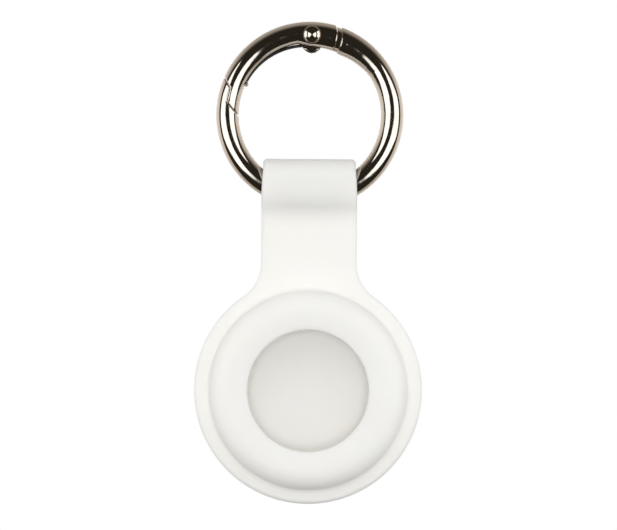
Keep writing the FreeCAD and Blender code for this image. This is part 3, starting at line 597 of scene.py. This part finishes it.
def nickel_finish(name, finish, gloss, wear):
    """Polished nickel: waviness, polishing lines, smudges, bronze of thin plating with painted shade in the
    seams, and satin on the cut faces.
    """
    material, tree, shader = new_shader(name)
    place = put(tree, "ShaderNodeTexCoord").outputs["Object"]
    axes = put(tree, "ShaderNodeSeparateXYZ", [("Vector", place)]).outputs
    smudge = noise(tree, place, scale=420.0, detail=4.0, roughness=0.6)
    wavy = noise(tree, place, scale=520.0, detail=1.0)
    stretched = put(tree, "ShaderNodeMapping", [("Vector", place)], Scale=(900.0, 14000.0, 900.0))
    lines = noise(tree, stretched.outputs["Vector"], scale=1.0, roughness=0.7)
    specks = noise(tree, place, scale=6000.0, detail=1.0)

    # A cut face lies inside the wire, away from its skin.
    from_axis = between(tree, axes["X"], axes["Z"])
    off_line = formula(tree, "SUBTRACT", from_axis, RING_HIGH.x - finish.wire / 2)
    skin = finish.wire / 2 - finish.cut_depth
    cut = ramp(tree, between(tree, off_line, axes["Y"]), skin, skin - finish.cut_blend)

    # Painted shade: where few rays get out of a seam, it turns darker bronze, less metallic and rougher,
    # partly standing for thin plating there.
    open_side = put(tree, "ShaderNodeAmbientOcclusion", samples=SURFACE_SAMPLES, Distance=finish.shaded_seam)
    shaded_seam = spread(tree, open_side.outputs["AO"], *SEAM_SHADE_RANGE)
    dull = formula(tree, "MAXIMUM", spread(tree, smudge, low=0.5, high=0.78, to_high=wear), cut)
    tone = blend_colours(tree, dull, finish.nickel, finish.nickel_dull)
    tone = blend_colours(tree, shaded_seam, tone, finish.seam_shade_bronze)
    tree.links.new(tone, shader.inputs["Base Color"])
    tree.links.new(spread(tree, shaded_seam, 0.0, 1.0, to_low=1.0, to_high=SEAM_METAL), shader.inputs["Metallic"])
    polish = spread(tree, smudge, low=0.35, high=0.75, to_low=gloss * 0.6, to_high=gloss * 1.8)
    polish = formula(tree, "MULTIPLY_ADD", cut, CUT_ROUGHNESS, polish)
    polish = formula(tree, "MULTIPLY_ADD", shaded_seam, SEAM_ROUGHNESS, polish)
    tree.links.new(polish, shader.inputs["Roughness"])

    on_lobe = ramp(tree, from_axis, finish.lobe_top, finish.lobe_top - LOBE_BORDER)
    rounding = formula(tree, "MULTIPLY", on_lobe, finish.edge_soft)
    soft_edge = put(tree, "ShaderNodeBevel", [("Radius", rounding)], samples=SURFACE_SAMPLES)
    relief = bumps(tree, wavy, strength=0.08, distance=0.0002, under=soft_edge.outputs["Normal"])
    relief = bumps(tree, lines, strength=0.03, distance=0.00002, under=relief)
    relief = bumps(tree, specks, strength=0.02, distance=0.00002, under=relief)
    tree.links.new(relief, shader.inputs["Normal"])
    return material


def on_strip(finish, turn, radius):
    """The point at an angle and a distance from the spring strip's own centre."""
    return Vector(finish.strip_centre) + radius * Vector((math.cos(turn), 0.0, math.sin(turn)))


def bead_middle(finish):
    """The rolled end's distance from the strip's own centre."""
    return finish.strip_radius + finish.strip_thickness / 2 - finish.bead_radius


def steel_finish(finish):
    """Dark spring steel with rolling lines along the strip and a bright rolled end."""
    material, tree, shader = new_shader("spring_steel")
    place = put(tree, "ShaderNodeTexCoord").outputs["Object"]
    axes = put(tree, "ShaderNodeSeparateXYZ", [("Vector", place)]).outputs
    bead = on_strip(finish, finish.strip_tip, bead_middle(finish))
    from_bead = between(tree, formula(tree, "SUBTRACT", axes["X"], bead.x),
                        formula(tree, "SUBTRACT", axes["Z"], bead.z))
    rolled = ramp(tree, from_bead, *(finish.bead_radius * part for part in BEAD_FADE))
    stretched = put(tree, "ShaderNodeMapping", [("Vector", place)], Scale=(500.0, 12000.0, 500.0))
    lines = noise(tree, stretched.outputs["Vector"], scale=1.0, detail=3.0, roughness=0.6)
    heat = noise(tree, place, scale=700.0)
    bluish = tuple(value * factor for value, factor in zip(finish.steel, HEAT_TINT))
    tone = blend_colours(tree, spread(tree, heat, low=0.35, high=0.7), finish.steel, bluish)
    tone = blend_colours(tree, rolled, tone, finish.rolled)
    tree.links.new(tone, shader.inputs["Base Color"])
    tree.links.new(spread(tree, lines, *NOISE_RANGE, to_low=0.24, to_high=0.42), shader.inputs["Roughness"])
    tree.links.new(bumps(tree, lines, strength=0.12, distance=0.00003), shader.inputs["Normal"])
    tune(shader, Metallic=1.0)
    return material


def floor_finish(look):
    """Plain pale paper on a light table."""
    material, tree, shader = new_shader("floor_paper")
    place = put(tree, "ShaderNodeTexCoord").outputs["Object"]
    fibre = noise(tree, place, scale=900.0, detail=4.0)
    tree.links.new(blend_colours(tree, fibre, look.paper, look.paper_fibre), shader.inputs["Base Color"])
    tree.links.new(bumps(tree, fibre, strength=0.05, distance=0.0001), shader.inputs["Normal"])
    tune(shader, Roughness=0.85, Emission_Color=(*look.table_tint, 1.0), Emission_Strength=look.table_light)
    return material


class TAGHOLDER_OT_make_holder(bpy.types.Operator):
    """Models the silicone moulding as one closed skin"""
    bl_idname = "tagholder.make_holder"
    bl_label = "Make the silicone holder"

    def execute(self, context):
        sizes = context.scene.tag_holder
        middle = HOLDER_LOW.z + sizes.brim_radius
        reach = 2 * math.pi * sizes.strap_turns / sizes.turns
        bm = bmesh.new()
        draw_pouch(bm, sizes, middle)
        rim, marks = open_brim(bm, sizes, middle, reach)
        rim, foot = draw_strap(bm, sizes, middle, reach, rim, marks)
        draw_loop(bm, sizes, foot, rim, marks)
        for mark in marks:
            bm.verts.layers.float.remove(mark)
        close_skin(bm, "silicone holder")
        holder = finish_mesh(bm, "holder_skin", silicone_finish(sizes))
        even = holder.modifiers.new("even_shading", "WEIGHTED_NORMAL")
        even.keep_sharp = True
        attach(holder, "holder")
        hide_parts("silicone_holder")
        return {"FINISHED"}


class TAGHOLDER_OT_make_spring(bpy.types.Operator):
    """Models the spring strip with its rolled end, which bends as the gate opens"""
    bl_idname = "tagholder.make_spring"
    bl_label = "Make the gate spring"

    def execute(self, context):
        finish = context.scene.tag_ring
        bm = bmesh.new()
        self.bend_strip(bm, finish)
        self.roll_bead(bm, finish)
        close_skin(bm, "gate spring")
        spring = finish_mesh(bm, "spring_strip", steel_finish(finish))
        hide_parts("gate_spring")
        root = on_strip(finish, finish.strip_root, finish.strip_radius)
        heel = on_strip(finish, finish.strip_heel, finish.strip_radius)
        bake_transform(spring, "ring", "gate", root, heel)
        return {"FINISHED"}

    def bend_strip(self, bm, finish):
        """A flat section spun about the strip's centre, with its long edges rounded."""
        centre = Vector(finish.strip_centre)
        bmesh.ops.create_grid(bm, x_segments=1, y_segments=1, size=0.5)
        bmesh.ops.scale(bm, vec=(finish.strip_thickness, finish.strip_width, 1.0), verts=bm.verts)
        bmesh.ops.translate(bm, vec=centre + Vector((finish.strip_radius, 0.0, 0.0)), verts=bm.verts)
        to_root = Matrix.Rotation(-finish.strip_root, 3, "Y")
        bmesh.ops.rotate(bm, cent=centre, matrix=to_root, verts=bm.verts)
        bmesh.ops.spin(bm, geom=bm.verts[:] + bm.edges[:] + bm.faces[:], cent=centre, axis=(0.0, -1.0, 0.0),
                       angle=finish.strip_tip - finish.strip_root, steps=BOW_STEPS, use_duplicate=False)

        def along(edge):
            first, last = [corner.co - centre for corner in edge.verts]
            return abs(first.length - last.length) < WELD and abs(first.y - last.y) < WELD

        self.round_edges(bm, [edge for edge in bm.edges if along(edge)], finish)

    def roll_bead(self, bm, finish):
        """The rolled free end, a short bar across the strip."""
        bead = bmesh.ops.create_cone(bm, cap_ends=True, segments=BEAD_STEPS, radius1=finish.bead_radius,
                                     radius2=finish.bead_radius, depth=finish.strip_width)["verts"]
        spot = on_strip(finish, finish.strip_tip, bead_middle(finish))
        bmesh.ops.rotate(bm, cent=(0.0, 0.0, 0.0), matrix=Matrix.Rotation(math.pi / 2, 3, "X"), verts=bead)
        bmesh.ops.translate(bm, vec=spot, verts=bead)
        rolled = {edge for corner in bead for edge in corner.link_edges}
        rims = [edge for edge in bm.edges
                if edge in rolled and abs(edge.verts[0].co.y - edge.verts[1].co.y) < WELD]
        self.round_edges(bm, rims, finish)

    def round_edges(self, bm, edges, finish):
        """Rounds edges of the strip."""
        bmesh.ops.bevel(bm, geom=edges, offset=finish.strip_round, offset_type="OFFSET", affect="EDGES",
                        segments=STRIP_STEPS, profile=0.5, material=-1)


class TAGHOLDER_OT_finish_metal(bpy.types.Operator):
    """Gives the ring, its gate and the rivet their polished plating"""
    bl_idname = "tagholder.finish_metal"
    bl_label = "Finish the metal"

    def execute(self, context):
        finish = context.scene.tag_ring
        plate = nickel_finish("nickel_plate", finish, gloss=finish.gloss, wear=0.25)
        rivet = nickel_finish("rivet_nickel", finish, gloss=finish.gloss * 1.3, wear=0.5)
        for node, material in (("ring_body", plate), ("gate", plate), ("hinge_rivet", rivet)):
            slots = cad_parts[node].data.materials
            slots.clear()
            slots.append(material)
        return {"FINISHED"}


class TAGHOLDER_OT_set_stage(bpy.types.Operator):
    """Puts up the floor, the soft studio light and the camera"""
    bl_idname = "tagholder.set_stage"
    bl_label = "Set the stage"

    def execute(self, context):
        look = context.scene.tag_stage
        self.lay_floor(look)
        self.light_room(context.scene, look)
        self.hang_lights(context.scene, look)
        self.place_camera(context.scene, look)
        context.scene.view_settings.view_transform = "Standard"
        return {"FINISHED"}

    def lay_floor(self, look):
        """A round floor below the pouch, which neither tints the silicone nor shows in the metal."""
        bm = bmesh.new()
        bmesh.ops.create_circle(bm, cap_ends=True, segments=FLOOR_STEPS, radius=look.floor_radius)
        bmesh.ops.translate(bm, verts=bm.verts, vec=(0.0, 0.0, HOLDER_LOW.z - look.floor_drop))
        floor = finish_mesh(bm, "floor", floor_finish(look))
        floor.visible_glossy = False
        floor.visible_diffuse = False

    def light_room(self, scene, look):
        """White for the camera, an even dim room for matt surfaces, and the studio for polished ones."""
        world = bpy.data.worlds.new("studio_room")
        world.use_nodes = True
        tree = world.node_tree
        tree.nodes.clear()
        rays = put(tree, "ShaderNodeLightPath").outputs
        way = put(tree, "ShaderNodeTexCoord").outputs["Generated"]
        axes = put(tree, "ShaderNodeSeparateXYZ", [("Vector", way)]).outputs
        even = blend_colours(tree, ramp(tree, axes["Z"], *ROOM_FALL), look.room, look.room_low)
        mirrored = self.mirrored_studio(tree, axes, look)
        seen = blend_colours(tree, rays["Is Glossy Ray"], even, mirrored)
        seen = blend_colours(tree, rays["Is Camera Ray"], seen, BACKDROP)
        glow = put(tree, "ShaderNodeBackground", [("Color", seen)])
        put(tree, "ShaderNodeOutputWorld", [("Surface", glow.outputs["Background"])])
        scene.world = world

    def mirrored_studio(self, tree, axes, look):
        """What polished metal mirrors: two soft panels beside the camera, a dark front and a beige back."""
        panel = self.side_panels(tree, axes)

        # The back of the room is dimmer above and below, and its light reaches further forward above.
        up = ramp(tree, axes["Z"], *CEILING)
        down = ramp(tree, axes["Z"], *GROUND)
        shift = formula(tree, "MULTIPLY", down, BACK_SHIFT_DOWN)
        shift = formula(tree, "MULTIPLY_ADD", up, BACK_SHIFT_UP, shift)
        fade = formula(tree, "MULTIPLY_ADD", up, BACK_FADE_UP, BACK_FADE)
        behind = formula(tree, "DIVIDE", formula(tree, "SUBTRACT", axes["Y"], shift), fade)
        behind = ramp(tree, behind, 0.0, 1.0)
        back = blend_colours(tree, formula(tree, "MAXIMUM", up, down), look.back, look.back_dim)

        # A dark doorway straight behind, with a bright frame, gives the metal its lines seen from the back.
        back = blend_colours(tree, ramp(tree, axes["Y"], *DOOR_FRAME), back, look.panel)
        back = blend_colours(tree, ramp(tree, axes["Y"], *DOORWAY), back, look.dark)
        room = blend_colours(tree, behind, look.dark, back)
        return blend_colours(tree, panel, room, look.panel)

    def side_panels(self, tree, axes):
        """1 on the two panels beside the camera, 0 elsewhere."""
        ahead = formula(tree, "MAXIMUM", formula(tree, "MULTIPLY", axes["Y"], -1.0), LEAST_AHEAD)
        aside = formula(tree, "DIVIDE", formula(tree, "ABSOLUTE", axes["X"]), ahead)
        height = formula(tree, "SUBTRACT", formula(tree, "DIVIDE", axes["Z"], ahead), CAMERA_LEVEL)
        upper = formula(tree, "MAXIMUM", height, 0.0)
        lower = formula(tree, "MINIMUM", height, 0.0)

        # Their inner edges lean apart above the camera and come close to each other below it.
        gap = formula(tree, "MULTIPLY_ADD", upper, GAP_ABOVE, PANEL_GAP)
        gap = formula(tree, "MULTIPLY_ADD", lower, GAP_BELOW, gap)
        gap = formula(tree, "MAXIMUM", gap, formula(tree, "MULTIPLY", lower, GAP_LEAST))
        sill = formula(tree, "MULTIPLY_ADD", aside, SILL_LEAN, SILL_LEVEL)
        sill = formula(tree, "MAXIMUM", sill, SILL_LOWEST)
        panel = ramp(tree, formula(tree, "SUBTRACT", aside, gap), *PANEL_INNER)
        for side in (ramp(tree, aside, *PANEL_OUTER), ramp(tree, height, *PANEL_TOP),
                     ramp(tree, formula(tree, "SUBTRACT", height, sill), *SILL_EDGE)):
            panel = formula(tree, "MULTIPLY", panel, side)
        return panel

    def hang_lights(self, scene, look):
        """Large soft lights round the object, which the polished metal doesn't mirror."""
        aim = Vector((0.0, 0.0, HOLDER_LOW.z / 2))
        # Each light's name, power, width, height and place.
        for name, watts, width, tall, spot in (
                ("top_light", look.key, 0.42, 0.30, (0.0, -0.46, 0.24)),
                ("front_light", look.fill, 0.18, 0.18, (0.0, -0.60, -0.05)),
                ("left_light", look.sides, 0.26, 0.36, (-0.48, -0.09, -0.04)),
                ("right_light", look.sides, 0.26, 0.36, (0.48, -0.09, -0.04)),
                ("rear_light", look.rear, 0.40, 0.40, (0.0, 0.55, 0.10))):
            soft_box = bpy.data.lights.new(name, "AREA")
            soft_box.shape = "RECTANGLE"
            soft_box.size = width
            soft_box.size_y = tall
            soft_box.energy = watts
            soft_box.color = LAMP_TINT
            lamp = bpy.data.objects.new(name, soft_box)
            lamp.location = spot
            lamp.rotation_euler = (aim - lamp.location).to_track_quat("-Z", "Y").to_euler()
            lamp.visible_glossy = False
            lamp.visible_camera = False
            scene.collection.objects.link(lamp)

    def place_camera(self, scene, look):
        """A long lens straight in front, so far away that it takes in the view's width."""
        camera = bpy.data.cameras.new("front_camera")
        camera.lens = look.lens
        stand = bpy.data.objects.new("front_camera", camera)
        stand.location = (look.view_x, -look.view_width * look.lens / camera.sensor_width, look.view_z)
        stand.rotation_euler = (math.pi / 2, look.view_roll, 0.0)
        scene.collection.objects.link(stand)
        scene.camera = stand


class TAGHOLDER_PT_sidebar(bpy.types.Panel):
    """Lists the steps and the sizes"""
    bl_idname = "TAGHOLDER_PT_sidebar"
    bl_label = "Tag Holder"
    bl_space_type = "VIEW_3D"
    bl_region_type = "UI"
    bl_category = "Tag Holder"

    def draw(self, context):
        for step in OPERATORS:
            self.layout.operator(step.bl_idname)
        for group in (context.scene.tag_holder, context.scene.tag_ring, context.scene.tag_stage):
            box = self.layout.box()
            for name in group.bl_rna.properties.keys():
                if name not in ("rna_type", "name"):
                    box.prop(group, name)


GROUPS = (HolderSizes, RingFinish, StageLook)
OPERATORS = (TAGHOLDER_OT_make_holder, TAGHOLDER_OT_make_spring, TAGHOLDER_OT_finish_metal,
             TAGHOLDER_OT_set_stage)
CLASSES = (*GROUPS, *OPERATORS, TAGHOLDER_PT_sidebar)


def register():
    for made in CLASSES:
        bpy.utils.register_class(made)
    bpy.types.Scene.tag_holder = PointerProperty(type=HolderSizes)
    bpy.types.Scene.tag_ring = PointerProperty(type=RingFinish)
    bpy.types.Scene.tag_stage = PointerProperty(type=StageLook)


def unregister():
    del bpy.types.Scene.tag_stage
    del bpy.types.Scene.tag_ring
    del bpy.types.Scene.tag_holder
    for made in reversed(CLASSES):
        bpy.utils.unregister_class(made)


def main():
    """Makes the pieces in order."""
    register()
    bpy.ops.tagholder.make_holder()
    bpy.ops.tagholder.make_spring()
    bpy.ops.tagholder.finish_metal()
    bpy.ops.tagholder.set_stage()


if __name__ == "__main__":
    main()
